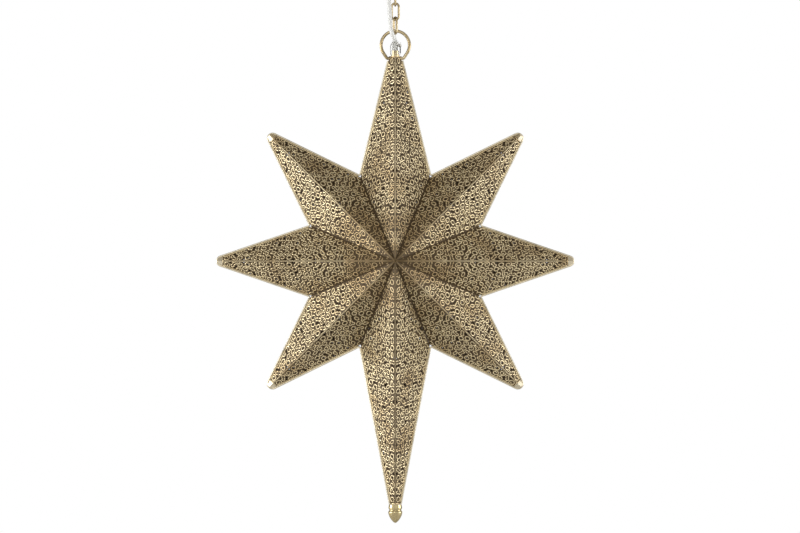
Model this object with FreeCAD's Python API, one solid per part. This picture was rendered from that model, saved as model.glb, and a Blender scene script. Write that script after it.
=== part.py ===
"""Faceted eight-point star pendant: pierced brass sheet star on a ring, a short chain and a ceiling cup.

Millimetres, +Z up, front face towards -Y. The origin is on the ceiling plane, on the axis of the chain.
Star pieces are built about the centre of the star and then lowered to where it hangs.
"""

import FreeCAD, Part
import math
import os

os.makedirs("parts", exist_ok=True)
Vec = FreeCAD.Vector

# --- star: eight points round a centre, folded sheet on both sides -------------------------------
point_count = 8
inner_corner_r = 117.2  # centre to the corners between the points
short_apex_r = 239.4  # centre to where the edges of a short point would cross
top_apex_r = 292.3
bottom_apex_r = 346.2
peak_depth = 75.0  # centre plane to the front and back peaks
sheet_t = 0.7
rim_wire_d = 2.4
tip_round_r = 6.2  # radius of the rounded tips of the short points
inner_bend_r = 2.0  # radius of the rim wire where it turns between two points
tip_cast_length = 7.0  # solid nose of each short point
tip_nose_r = 9.0
head_width = 15.74  # of the flat on the cut-off top point
head_height = 13.0
cap_plate_d = 10.6  # round plate on the head, under the cord grip
cap_plate_t = 1.7
foot_width = 14.2  # of the flat on the cut-off bottom point
foot_height = 9.0
seat_gap = 0.04  # between pieces that are soldered or screwed together
sheet_seat = 0.05  # between the sheets and the castings under them
sheet_slant = 1.04  # thickness of a sheet as cut across its point, over sheet_t
rim_clearance = 0.8  # rim ends this far under the ring's shoulders

# --- piercing of the sheet ------------------------------------------------------------------------
cell_pitch = 27.0
cell_width = 20.0
row_height = 17.0
border_rim = 5.0
border_ridge = 2.6
row_gap = 1.8
row_overlap = 0.72  # a row starts this far up the row before
small_cell = 0.55  # size of the openings that fill the narrow ends of the rows

# --- access door in the back of the right point ---------------------------------------------------
door_gap = 0.35
hinge_pin_d = 1.6
hinge_barrel_d = 3.0
hinge_fit = 0.05  # radial
hinge_knuckle = 4.0
hinge_slit = 0.3
hinge_margin = (34.0, 45.0)  # from the inner corner and from the apex, along the edge
hinge_inset = 0.4  # barrel axis inside the line of the rim
hinge_back = 3.6  # barrel axis behind the centre plane
leaf_t = 1.0
leaf_width = 13.0
leaf_length = 13.0
knob_d = 8.0
knob_height = 6.0
knob_shank_d = 2.6
knob_along = 150.0  # from the centre, along the point
knob_across = 18.0

# --- top fitting, ring and cord grip --------------------------------------------------------------
stem_d = 8.0
stem_bore = 6.2
stem_above_head = 7.0
stem_length = 177.0
stem_nut_d = 12.0
stem_nut_t = 3.0
pin_drop = 2.6  # ring pivots, under the head's top
pin_d = 2.4
pin_fit = 0.05  # radial
pin_wall = 0.7  # between the stem and the pins' inner ends
pin_boss_wall = 0.8
pin_boss_gap = 0.16  # between a pivot's boss and the shoulder of the ring
ring_mean_r = 18.0
ring_wire_d = 4.0
ring_side_gap = 0.06  # between the head and the shoulders of the ring
ring_elbow_run = 1.5
ring_elbow_r = 2.5
ring_lift = 16.8  # ring centre over its pivots
grip_d = 13.0
grip_height = 17.0
grip_boss_d = 6.0
grip_bore_fit = 0.05
grip_mouth = 4.0  # depth of its flared mouth
grip_screw_d = 3.0

# --- chain ----------------------------------------------------------------------------------------
link_count = 4
link_wire_d = 2.8
link_inner_w = 6.0
link_inner_l = 18.0
link_play = 0.15
last_link_twist = 24.0  # degrees

# --- ceiling cup ----------------------------------------------------------------------------------
cup_d = 120.0
cup_depth = 28.0
cup_wall = 0.9
cup_round = 12.0
strap_length = 104.0
strap_width = 18.0
strap_t = 2.0
strap_offset = 6.0  # its middle stands this far off the ceiling
strap_joggle = 6.0
slot_spacing = 88.0
slot_length = 10.0
slot_width = 4.6
strap_nut_d = 16.0
strap_nut_t = 3.0
nipple_top = -1.2
nipple_hole_fit = 0.2
collar_d = 24.0
collar_height = 5.0
collar_flutes = 12
neck_d = 15.0
neck_height = 10.0
loop_mean_r = 9.0
loop_wire_d = 4.0
bushing_flange_d = 11.0
bushing_neck_d = 8.5
bushing_bore_fit = 0.05
terminal_size = (26.0, 14.0, 10.0)
terminal_x = 14.0  # its near end

# --- lampholder and bulb --------------------------------------------------------------------------
holder_d = 27.0
holder_wall = 1.8
holder_cap_height = 18.0
holder_shell_height = 36.0
holder_well_d = 19.2
holder_floor_t = 2.0
contact_shank_d = 6.0
contact_head_d = 8.0
sleeve_bore = 14.3
sleeve_wall = 0.5
bulb_d = 45.0
bulb_cap_d = 13.9
bulb_cap_height = 22.0
bulb_drop = 26.0  # bulb's widest place under the holder's mouth
glass_wall = 1.0

# --- supply cord ----------------------------------------------------------------------------------
cord_d = 5.4
cord_hole = (-17.5, -6.5)  # where it leaves the ceiling cup

# --- finial ---------------------------------------------------------------------------------------
finial_collar_d = 16.4
finial_groove_d = 15.4
finial_bead_d = 18.2
finial_height = 24.0
finial_tip_r = 2.8
stud_d = 4.0

# --- heights that follow --------------------------------------------------------------------------
cup_floor = -cup_depth
neck_bottom = cup_floor - neck_height
loop_centre = neck_bottom - loop_mean_r + loop_wire_d / 4
loop_low = loop_centre - loop_mean_r
link_r = (link_inner_w + link_wire_d) / 2
link_span = link_inner_l + link_wire_d
link_top = [loop_low + (loop_wire_d + link_wire_d) / 2 + link_play]
for _ in range(link_count - 1):
    link_top.append(link_top[-1] - link_span + link_wire_d + link_play)
link_low = [top - link_span for top in link_top]
ring_top = link_low[-1] + (link_wire_d + ring_wire_d) / 2 + link_play
ring_centre = ring_top - ring_mean_r
pivot_z = ring_centre - ring_lift
half_sector = math.pi / point_count
corner_u = inner_corner_r * math.cos(half_sector)
corner_v = inner_corner_r * math.sin(half_sector)
head_top = top_apex_r - head_width / 2 * (top_apex_r - corner_u) / corner_v
head_bottom = head_top - head_height
foot_bottom = bottom_apex_r - foot_width / 2 * (bottom_apex_r - corner_u) / corner_v
foot_top = foot_bottom - foot_height
star_z = pivot_z + pin_drop - head_top
head_slope = corner_v / (top_apex_r - corner_u)  # how much the top point widens on each side
ring_shoulder = head_width / 2 + (pin_drop + ring_wire_d / 2) * head_slope + ring_side_gap
ring_elbow_x = ring_shoulder + ring_elbow_run
pin_reach = stem_d / 2 + pin_wall
pin_boss_r = pin_d / 2 + pin_boss_wall
rim_top = head_top - pin_drop - ring_wire_d / 2 - rim_clearance
stem_top = head_top + stem_above_head
stem_bottom = stem_top - stem_length
sheet_inset = rim_wire_d / 2 + seat_gap
grip_bottom = head_top + cap_plate_t + 0.1
grip_top = grip_bottom + grip_height
grip_screw_z = grip_top - 5.5
holder_top = stem_bottom + 6.0
holder_mid = holder_top - holder_cap_height
holder_mouth = holder_mid - holder_shell_height
holder_floor = holder_mid - 8.0
contact_face = holder_floor - 2.0


def save(name, shape):
    """One piece of the lamp, as a file of its own."""
    shape.exportStep(f"parts/{name}.step")


def hung(shape):
    """A star piece, lowered from the origin to where the star hangs."""
    moved = shape.copy()
    moved.translate(Vec(0, 0, star_z))
    return moved


def turned(profile, x=0.0, y=0.0):
    """A solid of revolution about a vertical axis, from (radius, height) corners."""
    corners = [Vec(r, 0, z) for r, z in profile]
    solid = Part.Face(Part.makePolygon(corners + corners[:1])).revolve(Vec(0, 0, 0), Vec(0, 0, 1), 360)
    solid.translate(Vec(x, y, 0))
    return solid


def rod(d, low, high, x=0.0, y=0.0):
    return Part.makeCylinder(d / 2, high - low, Vec(x, y, low))


def tube(d, bore, low, high, x=0.0, y=0.0):
    return rod(d, low, high, x, y).cut(rod(bore, low - 1, high + 1, x, y))


def rounded_path(points, radii):
    """Straight runs joined by tangent arcs, as runs (start, end) and arcs (start, middle, end).
    radii holds one value for each inner point."""
    path, start = [], points[0]
    for before, corner, after, radius in zip(points, points[1:], points[2:], radii):
        back, ahead = (before - corner).normalize(), (after - corner).normalize()
        half_turn = (math.pi - back.getAngle(ahead)) / 2
        reach = radius * math.tan(half_turn)
        leave, enter = corner + back * reach, corner + ahead * reach
        middle = corner + (back + ahead).normalize() * (radius / math.cos(half_turn) - radius)
        path += [(start, leave), (leave, middle, enter)]
        start = enter
    return path + [(start, points[-1])]


def wire_along(path, d):
    """Round wire of diameter d: a cylinder for each run and a part of a torus for each arc."""
    pieces = []
    for part in path:
        if len(part) == 2:
            pieces.append(Part.makeCylinder(d / 2, (part[1] - part[0]).Length, part[0], part[1] - part[0]))
        else:
            arc = Part.Arc(*part).toShape()
            centre, axis = arc.Curve.Center, arc.Curve.Axis
            section = Part.Face(Part.Wire([Part.makeCircle(d / 2, part[0], axis.cross(part[0] - centre))]))
            sweep = math.degrees(arc.LastParameter - arc.FirstParameter)
            pieces.append(section.revolve(centre, axis, sweep))
    return pieces[0].fuse(pieces[1:])


def path_length(path):
    """Length of a path's centre line."""
    edges = [Part.LineSegment(*p) if len(p) == 2 else Part.Arc(*p) for p in path]
    return sum(e.length() for e in edges)


# --- the star's sheets ----------------------------------------------------------------------------


def facet_outline(apex, end, gap):
    """Half of one point in the XZ plane, from the ridge (z = 0) up, clear of the rim wire.
    end cuts the point square; a short point is cut where its solid nose starts."""
    edge = Vec(apex - corner_u, 0, -corner_v).normalize()
    inward = Vec(-edge.z, 0, edge.x) * -(sheet_inset + gap)
    valley = Vec(math.cos(half_sector), 0, math.sin(half_sector))
    side = Vec(math.sin(half_sector), 0, -math.cos(half_sector)) * gap
    on_edge = Vec(corner_u, 0, corner_v) + inward
    centre = Vec(gap / math.sin(half_sector), 0, 0)
    # the rim cut meets the valley line here
    across = side - on_edge
    along = (across.x * edge.z - across.z * edge.x) / (edge.x * valley.z - edge.z * valley.x)
    corner = side + valley * along
    at_end = on_edge + edge * ((end - gap - on_edge.x) / edge.x)
    return Part.Face(Part.makePolygon([centre, Vec(end - gap, 0, 0), at_end, corner, centre]))


def facet_axes(apex):
    """The facet's plane: its peak, the direction along the ridge, the one across it and the inward normal."""
    peak = Vec(0, -peak_depth, 0)
    along = (Vec(apex, 0, 0) - peak).normalize()
    to_corner = Vec(corner_u, 0, corner_v) - peak
    across = (to_corner - along * to_corner.dot(along)).normalize()
    inward = across.cross(along)
    if inward.y < 0:
        inward = -inward
    return peak, along, across, inward


def pierced_cells(apex, end):
    """Four-sided openings in rows parallel to the ridge, as corners (along, across) in the facet's plane.
    Where a whole opening doesn't fit, a small one is tried."""
    peak, along, across, _ = facet_axes(apex)
    to_corner = Vec(corner_u, 0, corner_v) - peak
    top_s, top_h = to_corner.dot(along), to_corner.dot(across)
    length = (Vec(apex, 0, 0) - peak).Length
    last = length * end / apex - border_rim
    cells, low, row = [], border_ridge, 0
    while low + row_height * small_cell < top_h:
        s = cell_pitch * (0.8 if row % 2 else 0.3)
        while s < last:
            step = small_cell
            for size in (1, small_cell):
                width, height = cell_width * size, row_height * size
                middle = low + height * 0.45
                tips = [
                    (s, middle),
                    (s + width * 0.45, low),
                    (s + width, middle),
                    (s + width * 0.55, low + height),
                ]
                if tips[2][0] < last and all(inside_facet(p, length, top_s, top_h) for p in tips):
                    cells.append(tips)
                    step = size
                    break
            s += cell_pitch * step
        low += row_height * row_overlap + row_gap
        row += 1
    return cells


def inside_facet(p, length, top_s, top_h):
    """Whether a point keeps the plain border to the valley and to the rim."""
    s, h = p
    valley_room = (s * top_h - h * top_s) / math.hypot(top_s, top_h)
    rim_room = ((length - s) * top_h - h * (length - top_s)) / math.hypot(length - top_s, top_h)
    return valley_room > border_rim * 0.6 and rim_room > border_rim


def facet_sheet(apex, end, gap, plain_spot):
    """One flat, pierced half of a point's sheet; plain_spot (along, across, radius) stays unpierced."""
    peak, along, across, inward = facet_axes(apex)

    def spot(p):
        return peak + along * p[0] + across * p[1]

    big, low = apex * 1.3, -apex * 0.3
    corners = [spot(p) for p in ((low, low), (big, low), (big, big), (low, big), (low, low))]
    slab = Part.Face(Part.makePolygon(corners)).extrude(inward * sheet_t)
    half = slab.common(facet_outline(apex, end, gap).extrude(Vec(0, -peak_depth - 5, 0)))
    tools = []
    for cell in pierced_cells(apex, end):
        middle = [sum(c) / 4 for c in zip(*cell)]
        if plain_spot and math.dist(middle, plain_spot[:2]) < plain_spot[2]:
            continue
        opening = Part.Face(Part.makePolygon([spot(p) for p in cell + cell[:1]]))
        opening.translate(inward * -1)
        tools.append(opening.extrude(inward * (sheet_t + 2)))
    return half.cut(tools)


def point_sheet(apex, end, gap=0.0, plain_spot=None):
    """A point's front sheet, folded along its ridge, pointing along +X."""
    upper = facet_sheet(apex, end, gap, None)
    lower = facet_sheet(apex, end, gap, plain_spot).mirror(Vec(0, 0, 0), Vec(0, 0, 1))
    return upper.fuse(lower).removeSplitter()


def turned_to(shape, angle):
    """A piece of a point along +X, turned anticlockwise as seen from the front."""
    moved = shape.copy()
    moved.rotate(Vec(0, 0, 0), Vec(0, 1, 0), -angle)
    return moved


def to_back(shape):
    return shape.mirror(Vec(0, 0, 0), Vec(0, 1, 0))


def point_block(apex, low, high, skin=0.0):
    """The full thickness of a point between two distances from the centre, along +X.
    skin takes this much off all four faces."""
    corners = []
    for u in (low, high):
        w = (apex - u) * corner_v / (apex - corner_u)
        d = peak_depth * (1 - u / apex)
        inside = 1 - skin * math.hypot(w, d) / (w * d)
        w, d = w * inside, d * inside
        ring = [Vec(u, 0, w), Vec(u, d, 0), Vec(u, 0, -w), Vec(u, -d, 0)]
        corners.append(Part.makePolygon(ring + ring[:1]))
    return Part.makeLoft(corners, True, True)


def point_core(apex, low, high):
    """A casting that fills a point inside its sheets, grooved for the rim wire on both sides."""
    core = point_block(apex, low, high, sheet_t * sheet_slant + sheet_seat)
    reach = high - low + 20
    grooves = []
    for side in (1, -1):
        start = Vec(low - 10, 0, side * edge_at(apex, low - 10))
        edge = Vec(apex - corner_u, 0, -side * corner_v)
        grooves.append(Part.makeCylinder(rim_wire_d / 2 + seat_gap, reach, start, edge))
    return core.cut(grooves)


# --- rim wire with the solid noses of the short points ---------------------------------------------


def on_face(angle, r):
    a = math.radians(angle)
    return Vec(r * math.cos(a), 0, r * math.sin(a))


def edge_at(apex, u):
    """Half width of a point at distance u from the centre."""
    return (apex - u) * corner_v / (apex - corner_u)


def tip_reach():
    """How far the rounded tip of a short point is from the centre."""
    half_angle = math.atan2(corner_v, short_apex_r - corner_u)
    return short_apex_r - tip_round_r / math.sin(half_angle) + tip_round_r


def nose_start():
    return tip_reach() - tip_cast_length


def tip_nose():
    """Solid rounded end of a short point, along +X."""
    block = point_block(short_apex_r, nose_start(), short_apex_r - 1)
    ball = Part.makeSphere(tip_nose_r, Vec(tip_reach() - tip_nose_r, 0, 0))
    return block.common(ball)


def rim_frame():
    """Two lengths of round wire, one down each side, each with three solid noses."""
    step = 360 / point_count
    points = [Vec(edge_at(top_apex_r, rim_top), 0, rim_top)]
    radii = []
    for n in range(3):
        points += [on_face(90 - step * (n + 0.5), inner_corner_r), on_face(90 - step * (n + 1), short_apex_r)]
        radii += [inner_bend_r, tip_round_r]
    points += [on_face(-90 + step / 2, inner_corner_r)]
    radii += [inner_bend_r]
    points += [Vec(edge_at(bottom_apex_r, foot_bottom), 0, -foot_bottom)]
    right = wire_along(rounded_path(points, radii), rim_wire_d)
    right = right.fuse([turned_to(tip_nose(), angle) for angle in (45, 0, -45)]).removeSplitter()
    left = right.mirror(Vec(0, 0, 0), Vec(1, 0, 0))
    return Part.makeCompound([right, left])


# --- top and bottom fittings of the star ------------------------------------------------------------


def upright(shape, down=False):
    """A block made along +X, stood up along +Z, or along -Z."""
    return turned_to(shape, 270 if down else 90)


def star_head():
    """Cast head inside the cut-off top point: it takes the stem and the pivots of the ring.
    Over the ends of the rim wire its two corners reach the edge of the point."""
    shoulder = rim_top + rim_clearance / 2
    low = point_core(top_apex_r, head_bottom, shoulder)
    high = point_block(top_apex_r, shoulder, head_top, sheet_t * sheet_slant + sheet_seat)
    ears = point_block(top_apex_r, shoulder, head_top)
    outline = facet_outline(top_apex_r, top_apex_r, -seat_gap)
    for face in (outline, outline.mirror(Vec(0, 0, 0), Vec(0, 0, 1))):
        face.translate(Vec(0, -peak_depth, 0))
        ears = ears.cut(face.extrude(Vec(0, 2 * peak_depth, 0)))
    block = upright(low.fuse([high, ears]))
    added = [rod(cap_plate_d, head_top, head_top + cap_plate_t)]
    taken = [rod(stem_d + 2 * seat_gap, head_bottom - 1, head_top + 3)]
    for side in (1, -1):
        inner, outer = stem_d / 2, ring_shoulder - pin_boss_gap
        start, along = Vec(side * inner, 0, head_top - pin_drop), Vec(side, 0, 0)
        added.append(Part.makeCylinder(pin_boss_r, outer - inner, start, along))
        start = start + along * (pin_reach - inner)
        taken.append(Part.makeCylinder(pin_d / 2 + pin_fit, ring_shoulder, start, along))
    return block.fuse(added).cut(taken).removeSplitter()


def star_foot():
    """Cast foot in the cut-off bottom point, tapped for the finial's stud."""
    block = upright(point_core(bottom_apex_r, foot_top, foot_bottom), down=True)
    return block.cut(rod(stud_d + 2 * seat_gap, -foot_bottom - 1, -foot_top + 1))


def hanging_ring():
    """Sprung wire ring, open below, whose turned-down ends sit in the head's pivot holes."""
    pivot = head_top - pin_drop
    centre = Vec(0, 0, pivot + ring_lift)
    elbow = Vec(ring_elbow_x, 0, pivot)
    to_centre = centre - elbow
    half = math.asin(ring_mean_r / to_centre.Length)
    rise = math.atan2(to_centre.z, to_centre.x) - half
    length = math.sqrt(to_centre.Length**2 - ring_mean_r**2)
    touch = elbow + Vec(math.cos(rise), 0, math.sin(rise)) * length
    half_turn = rise / 2
    reach = ring_elbow_r * math.tan(half_turn)
    leave = elbow - Vec(reach, 0, 0)
    enter = elbow + Vec(math.cos(rise), 0, math.sin(rise)) * reach
    bend_centre = leave + Vec(0, 0, ring_elbow_r)
    bend_mid = bend_centre + Vec(math.sin(half_turn), 0, -math.cos(half_turn)) * ring_elbow_r

    def flip(p):
        return Vec(-p.x, p.y, p.z)

    start = Vec(ring_shoulder, 0, pivot)
    crown = centre + Vec(0, 0, ring_mean_r)
    right = [(start, leave), (leave, bend_mid, enter), (enter, touch)]
    left = [tuple(flip(p) for p in reversed(part)) for part in reversed(right)]
    path = right + [(touch, crown, flip(touch))] + left
    ring = wire_along(path, ring_wire_d)
    for side in (1, -1):
        end = Vec(side * (pin_reach + seat_gap), 0, pivot)
        ring = ring.fuse(Part.makeCylinder(pin_d / 2, ring_shoulder - abs(end.x), end, Vec(side, 0, 0)))
    return ring.removeSplitter()


def stem_tube():
    return tube(stem_d, stem_bore, stem_bottom, stem_top)


def stem_nut():
    """Thin hexagon nut under the head."""
    low = head_bottom - stem_nut_t - seat_gap
    corners = [on_face(60 * n, stem_nut_d / 2 / math.cos(math.pi / 6)) for n in range(7)]
    hexagon = Part.Face(Part.makePolygon([Vec(c.x, c.z, low) for c in corners]))
    return hexagon.extrude(Vec(0, 0, stem_nut_t)).cut(rod(stem_d + 2 * seat_gap, low - 1, head_bottom))


def cord_grip():
    """Clear moulded grip with a domed shoulder and a boss for its screw, screwed on the stem."""
    r = grip_d / 2
    profile = [(0, grip_bottom), (r, grip_bottom), (r, grip_top - 6), (r - 1, grip_top - 3)]
    profile += [(r * 0.6, grip_top - 1), (cord_d * 0.8, grip_top), (0, grip_top)]
    body = turned(profile)
    boss_x = r - grip_boss_d / 2 + 0.6
    body = body.fuse(rod(grip_boss_d, grip_bottom + 2, grip_top - 0.8, boss_x))
    body = body.cut(rod(stem_d + 2 * seat_gap, grip_bottom - 1, stem_top + seat_gap))
    bore = cord_d / 2 + grip_bore_fit
    body = body.cut(rod(2 * bore, grip_bottom, grip_top + 1))
    body = body.cut(Part.makeCone(bore, bore + 1.3, grip_mouth, Vec(0, 0, grip_top - grip_mouth)))
    screw = grip_screw_hole(grip_screw_d + 2 * seat_gap)
    return body.cut(screw).removeSplitter()


def grip_screw_hole(d):
    """Level hole for the clamping screw, from the right to the side of the cord."""
    start = Vec(cord_d / 2 + 0.2, 0, grip_screw_z)
    return Part.makeCylinder(d / 2, 20, start, Vec(1, 0, 0))


def grip_screw():
    """Slotted grub screw that holds the cord."""
    start = Vec(cord_d / 2 + 0.25, 0, grip_screw_z)
    shank = Part.makeCylinder(grip_screw_d / 2, grip_d / 2 - cord_d / 2 + 1.0, start, Vec(1, 0, 0))
    slot = Part.makeBox(1, 0.7, grip_screw_d + 1)
    slot.translate(Vec(grip_d / 2 + 0.6, -0.35, grip_screw_z - grip_screw_d / 2 - 0.5))
    return shank.cut(slot)


# --- lampholder and bulb ----------------------------------------------------------------------------


def holder_cap():
    """Domed top of the lampholder, screwed on the lower end of the stem."""
    r, w = holder_d / 2, holder_wall
    bore, crown = stem_d / 2 + seat_gap, r * 0.6
    outer = [(bore, holder_top), (crown, holder_top), (r - 2, holder_mid + 9), (r, holder_mid + 5)]
    inner = [(r, holder_mid), (r - w, holder_mid), (r - w, holder_mid + 4.6), (r - 2 * w, holder_mid + 7.6)]
    inner += [(crown, holder_top - 3 * w), (bore, holder_top - 3 * w)]
    return turned(outer + inner)


def holder_shell():
    """Round body of the lampholder with the floor that carries its contacts."""
    r, w, hole = holder_d / 2, holder_wall, contact_shank_d / 2
    top, well = holder_mid - seat_gap, holder_well_d / 2
    floor = holder_floor + holder_floor_t
    return turned([(r - w, top), (r, top), (r, holder_mouth + 1), (r - 1, holder_mouth), (well, holder_mouth),
                   (well, holder_floor), (hole, holder_floor), (hole, floor), (r - w, floor)])


def holder_sleeve():
    """Threaded brass sleeve that takes the cap of the bulb."""
    return tube(sleeve_bore + 2 * sleeve_wall, sleeve_bore, holder_mouth + 4, holder_floor - seat_gap)


def holder_contact():
    """Centre contact, a rivet through the holder's floor with a sprung head."""
    shank = rod(contact_shank_d - 2 * seat_gap, holder_floor - 1, holder_floor + holder_floor_t + 1.5)
    return shank.fuse(rod(contact_head_d, contact_face, holder_floor - seat_gap)).removeSplitter()


def bulb_cap():
    """Screw cap of the bulb, with its insulator and solder pip."""
    top = contact_face - seat_gap
    low = top - bulb_cap_height
    r = bulb_cap_d / 2
    return turned([(0, low), (r, low), (r, top - 5), (4.5, top - 2), (2.5, top - 1.2), (2.5, top), (0, top)])


def bulb_glass():
    """Round opal envelope with its neck, a thin shell."""
    ball_z = holder_mouth - bulb_drop
    neck_r = bulb_cap_d / 2 + 1.6
    top = contact_face - bulb_cap_height - 2 * seat_gap
    outer = Part.makeSphere(bulb_d / 2, Vec(0, 0, ball_z)).fuse(neck(neck_r, 0, ball_z, top))
    inner = Part.makeSphere(bulb_d / 2 - glass_wall, Vec(0, 0, ball_z))
    inner = inner.fuse(neck(neck_r, glass_wall, ball_z, top - glass_wall))
    return outer.cut(inner).removeSplitter()


def neck(r, wall, low, high):
    """Tapered neck between the ball and the cap of the bulb."""
    shoulder = bulb_d * 0.42 - wall
    return turned([(0, low), (shoulder, low), (r + 1.5 - wall, high - 6), (r - wall, high), (0, high)])


# --- finial -----------------------------------------------------------------------------------------


def finial():
    """Turned finial: collar, groove, bead and a blunt convex point."""
    top = -foot_bottom - 0.3
    r, b = finial_collar_d / 2, finial_bead_d / 2
    tip = top - finial_height + 0.3
    groove = finial_groove_d / 2
    corners = [(0, 0), (r - 0.4, 0), (r, -0.5), (r + 0.6, -4.6), (r, -6), (groove, -6.8), (groove, -7.6)]
    corners = [Vec(x, 0, top + z) for x, z in corners]
    belly, end = Vec(b, 0, top - 10.2), Vec(0, 0, tip)
    ball = Vec(0, 0, tip + finial_tip_r)
    nose, below = (ball + Vec(math.sin(a), 0, -math.cos(a)) * finial_tip_r for a in (0.8, 0.4))
    edges = [Part.LineSegment(p, q).toShape() for p, q in zip(corners, corners[1:])]
    edges.append(Part.Arc(corners[-1], Vec(b * 0.96, 0, top - 8.8), belly).toShape())
    edges.append(Part.Arc(belly, Vec(b * 0.78, 0, top - 16.5), nose).toShape())
    edges.append(Part.Arc(nose, below, end).toShape())
    edges.append(Part.LineSegment(end, corners[0]).toShape())
    solid = Part.Face(Part.Wire(edges)).revolve(Vec(0, 0, 0), Vec(0, 0, 1), 360)
    return solid.cut(rod(stud_d + 2 * seat_gap, top - 7, top + 1))


def finial_stud():
    return rod(stud_d, -foot_bottom - 7, -foot_top + 1.5)


# --- access door ------------------------------------------------------------------------------------


def hinge_frame():
    """The hinge line on the right point's upper edge: where it starts, its direction, the outward side."""
    edge = Vec(short_apex_r - corner_u, 0, -corner_v).normalize()
    outward = Vec(-edge.z, 0, edge.x)
    start = Vec(corner_u, 0, corner_v) - outward * hinge_inset + Vec(0, hinge_back, 0)
    return start, edge, outward


def knuckle(place, low, high, d):
    start, edge, _ = hinge_frame()
    return Part.makeCylinder(d / 2, high - low, start + edge * (place + low), edge)


def hinge_places():
    """Middles of the two hinges, along the edge from the inner corner."""
    edge_length = math.hypot(short_apex_r - corner_u, corner_v)
    return hinge_margin[0], edge_length - hinge_margin[1]


def hinge_offsets():
    """Ends of the three knuckles of one hinge, along its pin."""
    k, s = hinge_knuckle, hinge_slit
    return (-1.5 * k - s, -0.5 * k - s), (-0.5 * k, 0.5 * k), (0.5 * k + s, 1.5 * k + s)


def hinge_fixed():
    """Outer knuckles of both hinges, each on a short web to the rim wire."""
    start, edge, outward = hinge_frame()
    solids = []
    bore = hinge_pin_d + 2 * hinge_fit
    for place in hinge_places():
        for low, high in (hinge_offsets()[0], hinge_offsets()[2]):
            web_low = rim_wire_d / 2 + seat_gap
            foot = start + edge * (place + low) - Vec(0, hinge_back - web_low, 0) - outward * 0.4
            corners = [foot, foot + outward * 0.8, foot + outward * 0.8 + Vec(0, hinge_back - web_low, 0)]
            corners.append(foot + Vec(0, hinge_back - web_low, 0))
            web = Part.Face(Part.makePolygon(corners + corners[:1])).extrude(edge * (high - low))
            body = knuckle(place, low, high, hinge_barrel_d).fuse(web)
            solids.append(body.cut(knuckle(place, low - 1, high + 1, bore)).removeSplitter())
    return Part.makeCompound(solids)


def hinge_moving():
    """Middle knuckles of both hinges, each with its leaf flat on the door."""
    start, edge, outward = hinge_frame()
    peak, along, across, inward = facet_axes(short_apex_r)
    normal = Vec(-inward.x, inward.y, -inward.z)  # out of the door's sheet, at the back
    down = normal.cross(edge).normalize()
    if down.dot(outward) > 0:
        down = -down
    lift = (start - Vec(corner_u, 0, corner_v)).dot(normal)
    low, high = hinge_offsets()[1]
    solids = []
    for place in hinge_places():
        foot = start + edge * place - normal * (lift - seat_gap)
        tongue = plate(foot, edge, down, high - low, hinge_barrel_d / 2 + 3, normal)
        wide = plate(foot + down * (hinge_barrel_d / 2 + 1.0), edge, down, leaf_width, leaf_length, normal)
        body = knuckle(place, low, high, hinge_barrel_d).fuse([tongue, wide])
        bore = knuckle(place, low - 1, high + 1, hinge_pin_d + 2 * hinge_fit)
        solids.append(body.cut(bore).removeSplitter())
    return Part.makeCompound(solids)


def plate(foot, edge, down, width, length, normal):
    """A flat leaf, leaf_t thick, that starts at foot and runs down the sheet."""
    corners = [foot - edge * (width / 2), foot + edge * (width / 2)]
    corners += [corners[1] + down * length, corners[0] + down * length]
    return Part.Face(Part.makePolygon(corners + corners[:1])).extrude(normal * leaf_t)


def hinge_pins():
    low, high = hinge_offsets()[0][0] - 0.6, hinge_offsets()[2][1] + 0.6
    return Part.makeCompound([knuckle(place, low, high, hinge_pin_d) for place in hinge_places()])


def knob_seat():
    """Where the knob stands on the door's lower facet, and the way it points."""
    peak, along, across, inward = facet_axes(short_apex_r)
    depth = peak_depth - (-inward.x * knob_along - inward.z * knob_across) / inward.y
    normal = Vec(-inward.x, inward.y, inward.z)
    return Vec(knob_along, depth, -knob_across), normal


def door_knob():
    """Small turned knob, its shank through the sheet and headed over inside."""
    seat, normal = knob_seat()
    r, k = knob_shank_d / 2, knob_d / 2
    flange, inside = r + 0.9, -sheet_t - seat_gap
    corners = [(0, -sheet_t - 0.9), (flange, -sheet_t - 0.9), (flange, inside), (r, inside)]
    corners += [(r, seat_gap), (flange, seat_gap), (r, knob_height * 0.35), (k, knob_height * 0.6)]
    corners += [(k * 0.8, knob_height * 0.9), (0, knob_height)]
    knob = turned(corners)
    knob.Placement = FreeCAD.Placement(seat, FreeCAD.Rotation(Vec(0, 0, 1), normal))
    return knob


def access_door():
    """Back sheet of the right point, loose on its hinges, with the hole for its knob."""
    seat, normal = knob_seat()
    peak, along, across, _ = facet_axes(short_apex_r)
    front_seat = Vec(seat.x, -seat.y, -seat.z)
    spot = ((front_seat - peak).dot(along), (front_seat - peak).dot(across), cell_pitch * 0.6)
    sheet = to_back(point_sheet(short_apex_r, nose_start(), door_gap, spot))
    hole = Part.makeCylinder(knob_shank_d / 2 + seat_gap, 8, seat - normal * 4, normal)
    return sheet.cut(hole)


# --- chain --------------------------------------------------------------------------------------------


def chain_link(top, angle):
    """One welded link, its plane turned by angle from the front plane."""
    upper, lower = Vec(0, 0, -link_r), Vec(0, 0, link_r - link_span)
    side, rise = Vec(link_r, 0, 0), Vec(0, 0, link_r)
    path = [
        (upper - side, upper + rise, upper + side),
        (upper + side, lower + side),
        (lower + side, lower - rise, lower - side),
        (lower - side, upper - side),
    ]
    link = wire_along(path, link_wire_d)
    link.rotate(Vec(0, 0, 0), Vec(0, 0, 1), angle)
    link.translate(Vec(0, 0, top))
    return link


# --- ceiling fitting ----------------------------------------------------------------------------------


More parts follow.
